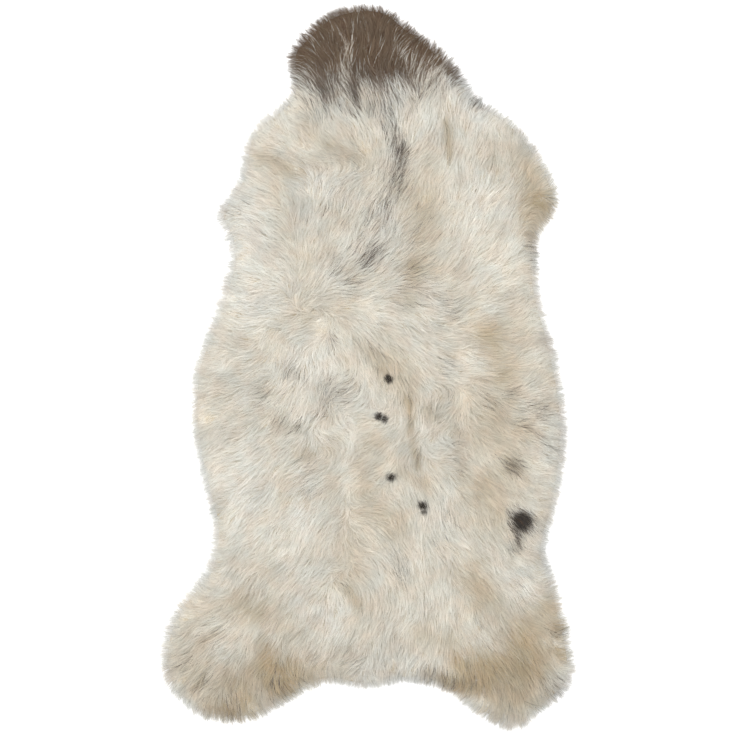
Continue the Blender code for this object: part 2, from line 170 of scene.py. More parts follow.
# Marks in the wool: ends in centimetres, width in mm. dark is the share of dark strands,
# tan the yellowing of the light ones, light how much brighter or dimmer the wool is; in the creases and the
# notch that dimming is painted shade.
Mark = namedtuple("Mark", "name start end width_mm dark tan light")
MARKS = (
    Mark("pale lane, left of the neck", (-2.8, 48.6), (-3.6, 43.5), 15, -0.34, 0.0, 0.0),
    Mark("pale lane, right of the neck", (5.2, 47.6), (9.1, 43.6), 15, -0.2, 0.0, 0.0),
    Mark("whorl of the neck", (0.5, 44.4), (4.6, 45.0), 18, 0.5, 0.0, -0.08),
    Mark("dark wisp, left", (-6.9, 42.3), (-6.3, 40.8), 18, 0.4, 0.0, 0.0),
    Mark("dark wisp, middle", (-2.2, 42.0), (-1.8, 40.2), 12, 0.55, 0.0, -0.03),
    Mark("dark knot of the nape", (12.6, 44.7), (13.2, 43.8), 17, 0.6, 0.0, -0.05),
    Mark("dark rim of the nape", (16.4, 40.5), (17.3, 39.2), 14, 0.3, 0.0, -0.05),
    Mark("grey below the neck", (-5.7, 39.2), (4.1, 38.6), 36, 0.08, -0.1, -0.03),
    Mark("grey nape", (13.3, 42.9), (16.7, 37.7), 39, 0.04, -0.3, -0.04),
    Mark("back streak, top", (3.4, 40.5), (2.6, 36.2), 15, 0.2, 0.0, 0.0),
    Mark("back streak, shoulder", (3.7, 35.2), (5.2, 32.6), 24, 0.34, 0.0, -0.02),
    Mark("back streak, dark", (5.2, 32.6), (4.3, 27.2), 27, 0.42, 0.0, -0.03),
    Mark("back streak, low", (2.2, 24.6), (1.2, 22.0), 30, 0.2, 0.0, -0.02),
    Mark("back streak, end", (1.2, 17.5), (0.0, 15.7), 26, 0.42, 0.0, -0.04),
    Mark("grey of the shoulders", (-4.2, 26.9), (4.1, 17.8), 91, 0.05, -0.05, -0.02),
    Mark("olive, left shoulder", (-16.0, 31.4), (-11.4, 29.6), 27, 0.0, 0.42, -0.01),
    Mark("brown by the parting", (-7.5, 34.1), (-5.1, 33.2), 21, 0.0, 0.25, -0.02),
    Mark("brown under the parting", (-3.4, 31.7), (0.6, 30.2), 18, 0.02, 0.22, -0.02),
    Mark("pale left shoulder", (-8.4, 28.7), (-6.3, 26.9), 36, 0.0, -0.3, 0.04),
    Mark("left foreleg", (-20.5, 24.6), (-17.8, 23.1), 60, 0.02, -0.15, -0.02),
    Mark("brown line of the nape", (11.7, 36.8), (12.4, 31.7), 12, 0.02, 0.6, -0.02),
    Mark("brown line, right shoulder", (18.3, 34.4), (19.1, 27.6), 18, 0.03, 0.2, -0.02),
    Mark("olive band", (8.5, 26.1), (8.5, 16.0), 57, 0.02, 0.4, -0.01),
    Mark("olive band, low", (6.7, 15.1), (6.1, 9.5), 27, 0.08, 0.42, -0.03),
    Mark("pale right side", (15.5, 28.4), (18.5, 15.5), 66, 0.0, -0.15, 0.05),
    Mark("olive, right shoulder", (21.2, 33.2), (22.7, 31.7), 30, 0.0, 0.25, 0.0),
    Mark("tan foreleg, top", (24.2, 29.1), (25.1, 25.9), 45, 0.0, 0.62, -0.01),
    Mark("tan foreleg, rim", (26.9, 24.6), (27.5, 23.5), 36, 0.03, 0.6, -0.04),
    Mark("tan foreleg, low", (23.9, 23.2), (25.1, 21.4), 39, 0.0, 0.5, -0.02),
    # Painted shade: the notch's dimming stands in for the shade in its recess, its tan and dark strands are the
    # wool's own.
    Mark("notch under the foreleg", (24.8, 19.6), (25.3, 16.0), 21, 0.14, 0.2, -0.1),
    Mark("cool left flank", (-17.8, 18.5), (-17.8, 8.7), 76, 0.0, -0.25, 0.02),
    Mark("grey by the swirl", (-4.8, 15.1), (-2.4, 12.0), 27, 0.1, 0.05, -0.03),
    Mark("grey right of the back", (9.7, 12.0), (12.7, 9.0), 39, 0.1, -0.05, -0.03),
    Mark("smudge, right flank", (18.8, 12.3), (20.0, 11.1), 33, 0.05, 0.12, -0.03),
    Mark("olive lane to the speck", (-0.9, 3.4), (2.5, -0.6), 21, 0.06, 0.35, -0.02),
    Mark("tan patch, right", (18.2, 4.9), (20.3, -0.6), 45, 0.0, 0.5, 0.0),
    Mark("tan, upper right back", (17.0, 5.7), (23.0, 5.4), 36, 0.0, 0.2, 0.02),
    Mark("tan, middle", (3.1, 3.4), (5.5, -3.7), 51, 0.02, 0.3, 0.0),
    Mark("pale patch, left", (-8.4, 2.7), (-6.3, -0.0), 45, 0.0, -0.3, 0.05),
    Mark("smudge above the pale patch", (-5.7, 4.2), (-4.8, 2.7), 21, 0.12, 0.0, -0.04),
    Mark("smudge, left 1", (-11.6, -0.5), (-10.8, -0.9), 21, 0.2, 0.1, -0.05),
    Mark("smudge, left 2", (-16.3, -3.4), (-14.8, -4.3), 24, 0.08, 0.2, -0.03),
    Mark("swirl, upper", (-6.3, -2.8), (-3.4, -3.7), 27, 0.2, 0.05, -0.04),
    Mark("swirl, lower", (-5.7, -4.9), (-7.5, -6.7), 21, 0.16, 0.0, -0.03),
    Mark("smudge, left 3", (-13.6, -8.5), (-10.2, -9.1), 24, 0.12, 0.15, -0.04),
    Mark("pale strip, right", (14.5, 2.7), (14.4, -7.6), 20, 0.0, -0.05, 0.09),
    Mark("pale lilac, right", (8.5, 1.9), (9.4, -4.1), 30, 0.0, -0.2, 0.03),
    Mark("grey strip, right", (12.0, 1.2), (11.8, -4.9), 21, 0.06, -0.05, -0.03),
    # Painted shade in the crease of the back: the dimming of these two marks is shade, their tan and dark
    # strands are the wool's own.
    Mark("crease of the back", (6.2, -4.9), (6.5, -9.4), 12, 0.08, 0.6, -0.06),
    Mark("crease of the back, low", (6.8, -10.9), (7.6, -14.8), 12, 0.1, 0.7, -0.08),
    Mark("brown by the crease", (9.1, -6.4), (9.7, -7.3), 21, 0.06, 0.3, -0.03),
    Mark("yellow right back", (18.5, -4.1), (20.0, -15.5), 100, 0.0, 0.36, 0.02),
    Mark("smudge, right 1", (18.0, -4.3), (18.8, -5.8), 18, 0.14, 0.2, -0.03),
    Mark("smudge, right 2", (21.8, -3.7), (22.1, -5.2), 17, 0.24, 0.2, -0.03),
    Mark("smudge, right 3", (24.8, -5.6), (26.6, -5.9), 17, 0.26, 0.1, -0.03),
    Mark("smudge, right 4", (23.3, -8.5), (24.5, -9.7), 27, 0.06, 0.25, -0.02),
    Mark("grey flank, right", (26.8, -7.9), (27.2, -12.4), 33, 0.06, 0.0, -0.03),
    Mark("grey spot", (21.6, -14.4), (22.1, -15.2), 23, 0.42, 0.3, -0.03),
    Mark("lane, right", (13.3, -8.7), (13.8, -17.0), 15, 0.06, 0.15, -0.04),
    Mark("yellow middle", (0.6, -10.2), (3.7, -13.2), 51, 0.0, 0.28, 0.02),
    Mark("yellow middle, low", (-0.9, -18.5), (3.7, -24.5), 76, 0.0, 0.3, 0.01),
    Mark("olive, left back", (-12.4, -15.5), (-12.7, -20.7), 27, 0.0, 0.22, 0.0),
    Mark("olive knot, left back", (-10.2, -13.2), (-9.0, -13.3), 20, 0.05, 0.35, -0.03),
    Mark("grey, left back", (-9.0, -16.2), (-8.1, -18.5), 27, 0.1, 0.0, -0.03),
    Mark("pale strip, left", (-2.7, -8.7), (-3.0, -20.7), 30, 0.0, -0.2, 0.04),
    Mark("brown beside the speck", (4.6, -15.5), (8.5, -17.3), 21, 0.03, 0.3, -0.03),
    Mark("yellow, right", (17.0, -18.5), (20.3, -23.0), 60, 0.0, 0.25, 0.02),
    Mark("cool left back", (-19.3, -10.9), (-17.8, -20.0), 76, 0.0, -0.15, 0.03),
    Mark("pale spot, low", (-10.5, -21.5), (-9.3, -24.2), 30, 0.0, -0.3, 0.04),
    Mark("grey, low right", (11.8, -20.0), (12.4, -26.0), 39, 0.04, -0.15, 0.01),
    Mark("smudge, low", (4.3, -28.4), (5.2, -30.9), 24, 0.16, 0.0, -0.04),
    Mark("black spot", (22.9, -22.9), (23.5, -23.2), 29, 1.0, 0.0, -0.1),
    Mark("tail of the black spot", (22.4, -25.1), (22.3, -26.9), 15, 0.55, 0.1, -0.02),
    Mark("orange, right waist", (15.2, -31.3), (17.6, -34.3), 51, 0.0, 0.5, 0.0),
    Mark("pale, right waist", (22.7, -31.8), (24.5, -33.9), 39, 0.03, -0.2, 0.03),
    Mark("pale, middle low", (7.6, -30.6), (9.7, -33.6), 39, 0.0, -0.1, 0.05),
    Mark("brown crease, low", (-3.3, -33.0), (-1.5, -35.7), 18, 0.04, 0.45, -0.03),
    Mark("olive, middle low", (-2.4, -27.2), (-2.4, -30.6), 45, 0.0, 0.22, 0.01),
    Mark("orange, left hip", (-19.6, -34.8), (-17.8, -36.9), 39, 0.0, 0.4, -0.01),
    Mark("tan, left hip", (-14.8, -36.6), (-12.5, -38.9), 51, 0.0, 0.25, 0.0),
    Mark("brown wisp, left hip", (-15.7, -40.5), (-15.1, -42.7), 18, 0.03, 0.4, -0.03),
    Mark("left hind leg", (-25.9, -41.9), (-23.1, -48.7), 91, 0.02, 0.3, -0.01),
    Mark("left hind leg, streak 1", (-26.9, -44.5), (-29.6, -45.4), 11, 0.15, 0.1, -0.08),
    Mark("left hind leg, streak 2", (-24.7, -46.6), (-26.1, -48.7), 12, 0.25, 0.25, -0.12),
    Mark("left hind leg, streak 3", (-22.6, -39.6), (-24.4, -41.1), 12, 0.1, 0.3, -0.06),
    Mark("left hind leg, end", (-23.1, -52.0), (-17.8, -52.3), 39, 0.06, 0.5, -0.07),
    Mark("left hind leg, dark end", (-21.1, -51.1), (-20.5, -52.6), 15, 0.16, 0.5, -0.06),
    Mark("red brown, left leg", (-20.5, -47.2), (-17.8, -50.2), 39, 0.02, 0.5, -0.03),
    Mark("brown inside the left leg", (-15.5, -44.9), (-9.5, -46.0), 54, 0.05, 0.75, -0.04),
    Mark("dark brown, left leg", (-14.0, -47.5), (-12.7, -48.1), 33, 0.1, 0.9, -0.06),
    Mark("tail, grey", (-3.4, -44.2), (4.9, -44.9), 51, 0.04, 0.05, -0.05),
    Mark("tail, lilac", (-6.0, -36.9), (-5.1, -39.9), 27, 0.0, -0.3, 0.02),
    Mark("tan by the tail", (5.6, -40.4), (11.7, -41.1), 45, 0.0, 0.22, -0.01),
    Mark("dark brown by the tail", (9.1, -46.3), (11.2, -46.7), 24, 0.2, 0.6, -0.08),
    Mark("dark brown, right leg", (12.7, -47.8), (16.7, -47.5), 27, 0.12, 0.9, -0.06),
    Mark("brown inside the right leg", (17.7, -44.9), (23.0, -45.4), 66, 0.04, 0.8, -0.03),
    Mark("tan wisp, right leg", (13.2, -44.5), (14.2, -44.8), 21, 0.0, 0.5, 0.0),
    Mark("green grey, right hip", (16.7, -39.6), (17.6, -41.4), 30, 0.04, -0.05, -0.01),
    Mark("orange, right hip", (22.3, -39.3), (27.2, -36.0), 66, 0.0, 0.55, 0.0),
    Mark("orange, right leg", (24.5, -41.1), (26.8, -43.4), 54, 0.0, 0.45, 0.01),
    Mark("brown rim, right leg", (28.7, -38.9), (29.4, -43.4), 21, 0.08, 0.6, -0.07),
    Mark("right leg, end", (20.0, -50.2), (23.0, -50.2), 60, 0.03, 0.55, -0.03),
    # Painted shade in the crease of the right leg, with the wool's own tan and dark strands.
    Mark("right leg, crease", (25.7, -46.0), (26.9, -48.7), 12, 0.06, 0.2, -0.1),
    Mark("right leg, grey", (27.8, -46.4), (28.4, -48.7), 30, 0.06, 0.0, -0.05),
)

# Small dark specks that grow close together: where, radius in mm and strength
Speck = namedtuple("Speck", "name place radius_mm strength")
SPECKS = (
    Speck("speck 1", (3.1, -1.7), 6.3, 1.0),
    Speck("speck 2", (1.7, -7.3), 6.0, 0.8),
    Speck("speck 3", (2.5, -7.7), 6.0, 0.8),
    Speck("speck 4", (3.5, -16.4), 6.6, 0.75),
    Speck("speck 5", (8.2, -20.7), 7.0, 0.9),
    Speck("speck 6", (8.4, -21.6), 5.1, 0.6),
    Speck("black spot", (23.2, -23.0), 12.8, 0.9),
)

SPECK_STRAY = 1.1
SPECK_GAIN = 1.6

WOOL_PIECES = ("wool_neck", "wool_shoulders", "wool_back", "wool_loin", "wool_hind_legs")

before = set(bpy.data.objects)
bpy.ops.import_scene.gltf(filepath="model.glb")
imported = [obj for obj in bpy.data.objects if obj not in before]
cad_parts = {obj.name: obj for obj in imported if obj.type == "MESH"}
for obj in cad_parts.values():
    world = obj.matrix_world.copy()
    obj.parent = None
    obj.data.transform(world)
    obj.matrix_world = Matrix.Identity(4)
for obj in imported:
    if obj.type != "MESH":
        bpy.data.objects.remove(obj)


class Ground:
    """An even grid over the skin whose values can be read at any place."""

    def __init__(self, low, high, cell):
        self.low = np.array(low, float)
        self.cell = cell
        self.count = np.ceil((np.array(high, float) - self.low) / cell).astype(int) + 1
        across = self.low[0] + np.arange(self.count[0]) * cell
        along = self.low[1] + np.arange(self.count[1]) * cell
        self.x, self.y = np.meshgrid(across, along)

    def read(self, values, x, y):
        """The grid's values at other places, mixed from the four nearest corners."""
        u = np.clip((x - self.low[0]) / self.cell, 0, self.count[0] - 1.001)
        v = np.clip((y - self.low[1]) / self.cell, 0, self.count[1] - 1.001)
        i, j = u.astype(int), v.astype(int)
        fu, fv = u - i, v - j
        lower = values[j, i] * (1 - fu) + values[j, i + 1] * fu
        upper = values[j + 1, i] * (1 - fu) + values[j + 1, i + 1] * fu
        return lower * (1 - fv) + upper * fv


def smooth_step(low, high, value):
    """From 0 at low to 1 at high, with soft ends."""
    share = np.clip((value - low) / (high - low), 0, 1)
    return share * share * (3 - 2 * share)


def softened(values, rounds):
    """The same grid with every value mixed with its neighbours, a few times over."""
    for _ in range(rounds):
        wide = np.pad(values, 1, mode="edge")
        across = (wide[1:-1, :-2] + 2 * wide[1:-1, 1:-1] + wide[1:-1, 2:]) / 4
        tall = np.pad(across, ((1, 1), (0, 0)), mode="edge")
        values = (tall[:-2] + 2 * tall[1:-1] + tall[2:]) / 4
    return values


def soft_noise(x, y, cell, seed):
    """Smooth noise from -1 to 1 with lumps about one cell wide."""
    chance = np.random.default_rng(seed)
    side = 512
    lattice = chance.uniform(-1, 1, (side, side))
    u, v = x / cell + side / 2, y / cell + side / 2
    i, j = np.floor(u).astype(int), np.floor(v).astype(int)
    fu, fv = u - i, v - j
    fu, fv = fu * fu * (3 - 2 * fu), fv * fv * (3 - 2 * fv)
    i0, i1, j0, j1 = i % side, (i + 1) % side, j % side, (j + 1) % side
    lower = lattice[j0, i0] * (1 - fu) + lattice[j0, i1] * fu
    upper = lattice[j1, i0] * (1 - fu) + lattice[j1, i1] * fu
    return lower * (1 - fv) + upper * fv


def merged(node):
    """A solid of the frame as a bmesh whose corners are joined."""
    bm = bmesh.new()
    bm.from_mesh(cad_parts[node].data)
    bmesh.ops.remove_doubles(bm, verts=bm.verts, dist=MERGE)
    return bm


def walk_ring(bm, height):
    """The closed line of edges at one height, clockwise, as corners in order."""
    level = {corner for corner in bm.verts if abs(corner.co.z - height) < LEVEL_SLACK}
    start = min(level, key=lambda corner: (corner.co.y, corner.co.x))
    ring = [start]
    before = None
    while True:
        here = ring[-1]
        ahead = [edge.other_vert(here) for edge in here.link_edges if edge.other_vert(here) in level]
        ahead = [corner for corner in ahead if corner is not before]
        before = here
        if len(ring) > 2 and start in ahead:
            break
        ring.append(ahead[0])
        if len(ring) > len(level):
            raise RuntimeError("the rim's corners don't form one closed line")
    turn = sum(a.co.x * b.co.y - b.co.x * a.co.y for a, b in zip(ring, ring[1:] + ring[:1]))
    if turn > 0:
        ring.reverse()
    return ring


def read_rim():
    """The rim's corners, the way and the reach of the lock at each, and the solid's top."""
    bm = merged("fleece")
    ring = walk_ring(bm, WALL_TOP)
    rim = np.array([corner.co[:] for corner in ring])[:, :2]
    tips = np.array([c.co[:] for c in bm.verts if abs(c.co.z - LOCK_TIP_TOP) < LEVEL_SLACK])[:, :2]
    top = BVHTree.FromBMesh(bm)
    bm.free()
    ahead = np.roll(rim, -1, axis=0) - np.roll(rim, 1, axis=0)
    out = np.stack([-ahead[:, 1], ahead[:, 0]], axis=1)
    out /= np.linalg.norm(out, axis=1)[:, None]
    middle = (rim + np.roll(rim, -1, axis=0)) / 2
    way = np.zeros_like(rim)
    for number, root in enumerate(middle):
        gap = np.linalg.norm(tips - root - out[number] * 14 * MM, axis=1)
        near = tips[np.argsort(gap)[:2]]
        way[number] = near.mean(axis=0) - root
    for _ in range(LOCK_SMOOTHING):
        way = (np.roll(way, 1, axis=0) + 2 * way + np.roll(way, -1, axis=0)) / 4
    return rim, way, top


def rim_distance(x, y, rim):
    """How far inside the rim each place is, and the number of the rim's nearest edge."""
    best = np.full(x.shape, np.inf)
    nearest = np.zeros(x.shape, int)
    inside = np.zeros(x.shape, bool)
    for number, start in enumerate(rim):
        end = rim[(number + 1) % len(rim)]
        run = end - start
        share = ((x - start[0]) * run[0] + (y - start[1]) * run[1]) / (run @ run)
        share = np.clip(share, 0, 1)
        away = np.hypot(x - start[0] - run[0] * share, y - start[1] - run[1] * share)
        closer = away < best
        best[closer] = away[closer]
        nearest[closer] = number
        if start[1] != end[1]:
            crosses = (start[1] > y) != (end[1] > y)
            inside ^= crosses & (x < start[0] + (y - start[1]) * run[0] / (end[1] - start[1]))
    return np.where(inside, best, -best), nearest


def combed(x, y):
    """The way that the wool is combed at each place, as the chart has it."""
    rows = []
    for section in COMBING:
        across = (section.left_cm * CM) + np.arange(len(section.headings)) * CHART_STEP
        heading = np.radians(section.headings)
        rows.append((section.along_cm * CM, across, np.cos(heading), np.sin(heading)))
    rows.sort(key=lambda row: row[0])
    levels = np.array([row[0] for row in rows])
    right = np.array([np.interp(x[0], row[1], row[2]) for row in rows])
    up = np.array([np.interp(x[0], row[1], row[3]) for row in rows])
    ways = []
    for part in (right, up):
        columns = [np.interp(y[:, 0], levels, part[:, n]) for n in range(part.shape[1])]
        ways.append(np.array(columns).T)
    return ways


class Skin:
    """The wool's rim, height and combing over the whole skin."""

    def __init__(self):
        rim, way, top = read_rim()
        low, high = rim.min(axis=0) - GRID_MARGIN, rim.max(axis=0) + GRID_MARGIN
        self.rim = rim
        self.ground = Ground(low, high, GRID_CELL)
        x, y = self.ground.x, self.ground.y
        self.inside, nearest = rim_distance(x, y, rim)
        self.reach = softened(np.linalg.norm(way, axis=1)[nearest], 2)
        self.height = self.read_height(top)
        self.way = self.read_combing(way[nearest])
        self.unsure = 1 - np.minimum(np.hypot(*self.way), 1)

    def read_height(self, top):
        """The wool's height: the solid's own in the open pile, and a soft fall to the rim."""
        ground = self.ground
        hits = np.zeros(ground.x.shape)
        open_pile = self.inside > OPEN_PILE_IN
        for j, i in zip(*np.nonzero(open_pile)):
            hit = top.ray_cast(Vector((ground.x[j, i], ground.y[j, i], RAY_START)), Vector((0, 0, -1)))
            hits[j, i] = hit[0].z
        known = open_pile.astype(float)
        total, weight = hits * known, known.copy()
        for _ in range(14):
            total, weight = softened(total, 1), softened(weight, 1)
            total = np.where(open_pile, hits, total)
            weight = np.where(open_pile, 1.0, weight)
        pile = total / np.maximum(weight, 1e-6)
        pile = np.where(weight > 1e-3, pile, hits[open_pile].mean())
        pile = softened(pile, HEIGHT_ROUNDS)
        return pile * np.interp(self.inside / MM, RIM_IN_MM, RIM_SHARE)

    def read_combing(self, rim_way):
        """The combing of the chart, turned to the locks' own way near the rim."""
        right, up = combed(self.ground.x, self.ground.y)
        right, up = softened(right, COMBING_ROUNDS), softened(up, COMBING_ROUNDS)
        rim_length = np.maximum(np.linalg.norm(rim_way, axis=2), 1e-6)
        turned = smooth_step(TURN_FROM, TURN_TO, self.inside)
        right = right * (1 - turned) + rim_way[..., 0] / rim_length * turned
        up = up * (1 - turned) + rim_way[..., 1] / rim_length * turned
        return softened(right, 1), softened(up, 1)

    def heading(self, x, y):
        """The combing's angle at each place."""
        return np.arctan2(self.ground.read(self.way[1], x, y), self.ground.read(self.way[0], x, y))


@functools.cache
def read_skin():
    """The skin's rim, height and combing, read once from the frame."""
    return Skin()


class Gathering:
    """Centres that strands gather round, about one cell apart, each with its own chance."""

    def __init__(self, ground, cell, chance):
        self.cell = cell
        self.low = ground.low - 2 * cell
        high = np.array([ground.x.max(), ground.y.max()]) + 2 * cell
        self.count = np.ceil((high - self.low) / cell).astype(int)
        self.jitter = chance.uniform(0.08, 0.92, (*self.count, 2))
        self.values = chance.normal(0, 1, (*self.count, 4))
        self.even = chance.uniform(0, 1, tuple(self.count))

    def nearest(self, x, y):
        """The nearest centre to each place, with that centre's chance values."""
        i = np.floor((x - self.low[0]) / self.cell).astype(int)
        j = np.floor((y - self.low[1]) / self.cell).astype(int)
        best = np.full(x.shape, np.inf)
        found = np.zeros((4, *x.shape))
        for di in (-1, 0, 1):
            for dj in (-1, 0, 1):
                a = np.clip(i + di, 0, self.count[0] - 1)
                b = np.clip(j + dj, 0, self.count[1] - 1)
                cx = self.low[0] + (a + self.jitter[a, b, 0]) * self.cell
                cy = self.low[1] + (b + self.jitter[a, b, 1]) * self.cell
                away = np.hypot(x - cx, y - cy)
                closer = away < best
                best = np.where(closer, away, best)
                for slot, value in enumerate((cx, cy, a, b)):
                    found[slot] = np.where(closer, value, found[slot])
        a, b = found[2].astype(int), found[3].astype(int)
        return found[0], found[1], self.values[a, b], self.even[a, b]


def walk(skin, x, y, turn, ahead, behind):
    """Places along the combing through an anchor, from the root behind it to the tip ahead."""
    middle = (STRAND_POINTS - 1) / 2
    lines = []
    for way, length in ((-1, behind), (1, ahead)):
        at_x, at_y = x, y
        before = 0.0
        for number in range(STRAND_POINTS // 2):
            share = (number + 0.5) / middle
            step = way * length * (share - before)
            angle = skin.heading(at_x, at_y) + turn
            at_x = at_x + np.cos(angle) * step
            at_y = at_y + np.sin(angle) * step
            before = share
            lines.insert(0, (at_x, at_y)) if way < 0 else lines.append((at_x, at_y))
    return np.array([line[0] for line in lines]), np.array([line[1] for line in lines])


def scatter(skin, count, chance):
    """Strands' middles spread evenly over the skin, in the order that they were drawn."""
    low, high = skin.rim.min(axis=0) + ANCHOR_IN, skin.rim.max(axis=0) - ANCHOR_IN
    places = np.zeros((0, 2))
    while len(places) < count:
        tries = chance.uniform(low, high, (count, 2))
        inside = skin.ground.read(skin.inside, tries[:, 0], tries[:, 1])
        places = np.concatenate([places, tries[inside > ANCHOR_IN]])
    return places[:count, 0], places[:count, 1]


def mark_share(x, y, mark):
    """How strongly a mark shows at each place, from 0 to 1."""
    start = np.array(mark.start) * CM
    run = np.array(mark.end) * CM - start
    share = np.clip(((x - start[0]) * run[0] + (y - start[1]) * run[1]) / (run @ run), 0, 1)
    away = np.hypot(x - start[0] - run[0] * share, y - start[1] - run[1] * share)
    return np.exp(-(away / (mark.width_mm * MM / 2)) ** 2)


def cap_share(x, y):
    """The share of brown strands in the neck at each place."""
    line = np.array(CAP_LINE) * CM
    edge = np.interp(x, line[:, 0], line[:, 1])
    return np.interp((y - edge) / CM, CAP_PAST_CM, CAP_SHARE)


def tones(x, y):
    """The share of dark strands, the tan and the light of the wool at each place."""
    dark = cap_share(x, y)
    tan = np.full(x.shape, 0.12)
    light = np.zeros(x.shape)
    for mark in MARKS:
        share = mark_share(x, y, mark)
        dark = dark + mark.dark * share
        tan = tan + mark.tan * share
        light = light + mark.light * share
    tan = tan + 0.14 * soft_noise(x, y, 45 * MM, 11) + 0.1 * soft_noise(x, y, 18 * MM, 12)
    light = light + 0.035 * soft_noise(x, y, 34 * MM, 13) + 0.03 * soft_noise(x, y, 12 * MM, 14)
    return np.clip(dark, 0, 1), np.clip(tan, -1, 1), light


def even_rank(value):
    """The mean of two even chances, spread evenly again from 0 to 1."""
    return np.where(value < 0.5, 2 * value ** 2, 1 - 2 * (1 - value) ** 2)


def shag_share(x, y):
    """How heavy the wool's tufts are at each place."""
    total = np.zeros(x.shape)
    for shag in SHAGS:
        total = np.maximum(total, shag.amount * mark_share(x, y, shag))
    return total


def grow_strands(skin, settings, count):
    """Every strand's points, widths and tones, as arrays."""
    chance = np.random.default_rng(settings.seed)
    x, y = scatter(skin, count, chance)
    own = chance.normal(0, 1, (6, count))
    even = chance.uniform(0, 1, (6, count))
    shag = shag_share(x, y)
    unsure = 1 + UNSURE_TURN * skin.ground.read(skin.unsure, x, y)
    share = np.linspace(0, 1, STRAND_POINTS)[:, None]
    inside = skin.ground.read(skin.inside, x, y)
    reach = skin.ground.read(skin.reach, x, y)

    turn, length, shade, rise = np.zeros((4, count))
    hearts = []
    for gather in GATHERS:
        heart_x, heart_y, values, flock = Gathering(skin.ground, gather.size_mm * MM, chance).nearest(x, y)
        turn = turn + math.radians(gather.turn_deg) * settings.unruly * unsure * values[:, 0]
        length = length + gather.length * values[:, 1]
        shade = shade + gather.shade * values[:, 2]
        rise = rise + gather.rise_mm * MM * (1 + SHAG_RISE * shag) * values[:, 3]
        hearts.append((heart_x, heart_y, turn, gather.pinch * settings.gathered * (1 + SHAG_PINCH * shag)))
    length = settings.strand_length * (1 + length) * (1 + SHAG_LENGTH * shag)
    past = reach * np.clip(1.04 + 0.25 * values[:, 0], 0.5, 1.6)
    behind = length / 2
    ahead = np.minimum(behind, np.maximum(inside + past, 2 * MM))
    own_length = np.clip(1 + 0.12 * own[0], 0.7, 1.3)
    line_x, line_y = walk(skin, x, y, turn + STRAND_TURN * own[1], ahead * own_length, behind)
    for heart_x, heart_y, way, pinch in hearts:
        if pinch.max() > 0:
            heart_x, heart_y = walk(skin, heart_x, heart_y, way, ahead, behind)
            pull = np.clip(pinch * share * (1 + 0.35 * own[2]), 0, 0.95)
            line_x = line_x * (1 - pull) + heart_x * pull
            line_y = line_y * (1 - pull) + heart_y * pull
    bend = (values[:, 1] * 0.8 + own[3] * 0.6) * MM * np.sin(share * math.pi * 1.3)
    angle = skin.heading(x, y) + math.pi / 2
    line_x = line_x + np.cos(angle) * bend
    line_y = line_y + np.sin(angle) * bend

    layer = even[0] ** 1.4
    under = skin.ground.read(skin.height, line_x, line_y)
    fall = np.array(RISE)[:, None] + LAYER_DEPTH * layer
    stand = (rise + 0.4 * MM * own[5]) * share * smooth_step(2 * MM, 22 * MM, under)
    line_z = np.maximum(under * (1 - fall) + stand, FLOOR_GAP + 0.6 * MM * even[1])
    fine = smooth_step(-6 * MM, 10 * MM, inside)
    width = settings.strand_width * (0.75 + 0.5 * even[2]) * (0.6 + 0.4 * fine)

    seen_x, seen_y = line_x[2], line_y[2]
    dark, tan, light = tones(seen_x, seen_y)
    # Painted shade at the rim: within about 9 mm of its edge the wool is dimmed and turned cooler, for the wool
    # falling away from the lamp.
    rim = smooth_step(9 * MM, -9 * MM, skin.ground.read(skin.inside, seen_x, seen_y))
    tan = tan - 0.5 * rim
    light = light - 0.16 * rim
    is_dark = even_rank((flock + even[3]) / 2) < dark
    depth = (flock * 7.3 % 1 + even[4]) / 2
    pigment = np.where(is_dark, 0.74 + 0.26 * depth, 0.3 * dark * even[4])
    brown = smooth_step(38 * CM, 47 * CM, seen_y)
    warmth = np.where(is_dark, brown, 0.5 + tan / 2)
    # Each strand's brightness: random tone and kemp, plus the marks' light, which holds painted shade at the rim
    # and in the creases.
    shade = 0.6 + 2.2 * light + shade + 0.13 * own[4] - 0.4 * (even[0] < 0.04)
    return {
        "x": line_x, "y": line_y, "z": line_z, "width": width,
        "roll": ROLL * own[5] * 0.6, "pigment": pigment, "warmth": warmth,
        "shade": np.clip(shade, 0, 1),
    }


def ribbon_corners(strands, chosen):
    """The corners of the chosen strands' ribbons: two at each point but one at the tip."""
    centre = np.stack([strands[axis][:, chosen] for axis in "xyz"], axis=2)
    ahead = np.gradient(centre, axis=0)
    ahead /= np.maximum(np.linalg.norm(ahead, axis=2), 1e-9)[..., None]
    side = np.stack([-ahead[..., 1], ahead[..., 0], np.zeros(ahead.shape[:2])], axis=2)
    side /= np.maximum(np.linalg.norm(side, axis=2), 1e-9)[..., None]
    lift = np.cross(side, ahead)
    roll = strands["roll"][chosen][None, :, None]
    side = side * np.cos(roll) + lift * np.sin(roll)
    half = np.array(STRAND_WIDTHS)[:, None] * strands["width"][chosen] / 2
    left = centre[:-1] - side[:-1] * half[..., None]
    right = centre[:-1] + side[:-1] * half[..., None]
    pairs = np.stack([left, right], axis=1)
    corners = pairs.transpose(2, 0, 1, 3).reshape(len(chosen), -1, 3)
    return np.concatenate([corners, centre[-1][:, None, :]], axis=1)


def ribbon_faces(count, corners):
    """Corner numbers and sizes of the faces of that many ribbons."""
    spans = STRAND_POINTS - 2
    one = []
    for span in range(spans):
        a = 2 * span
        one += [a, a + 1, a + 3, a + 2]
    last = 2 * spans
    one += [last, last + 1, last + 2]
    loops = (np.arange(count)[:, None] * corners + np.array(one)[None, :]).ravel()
    sizes = np.tile([4] * spans + [3], count)
    return loops, sizes


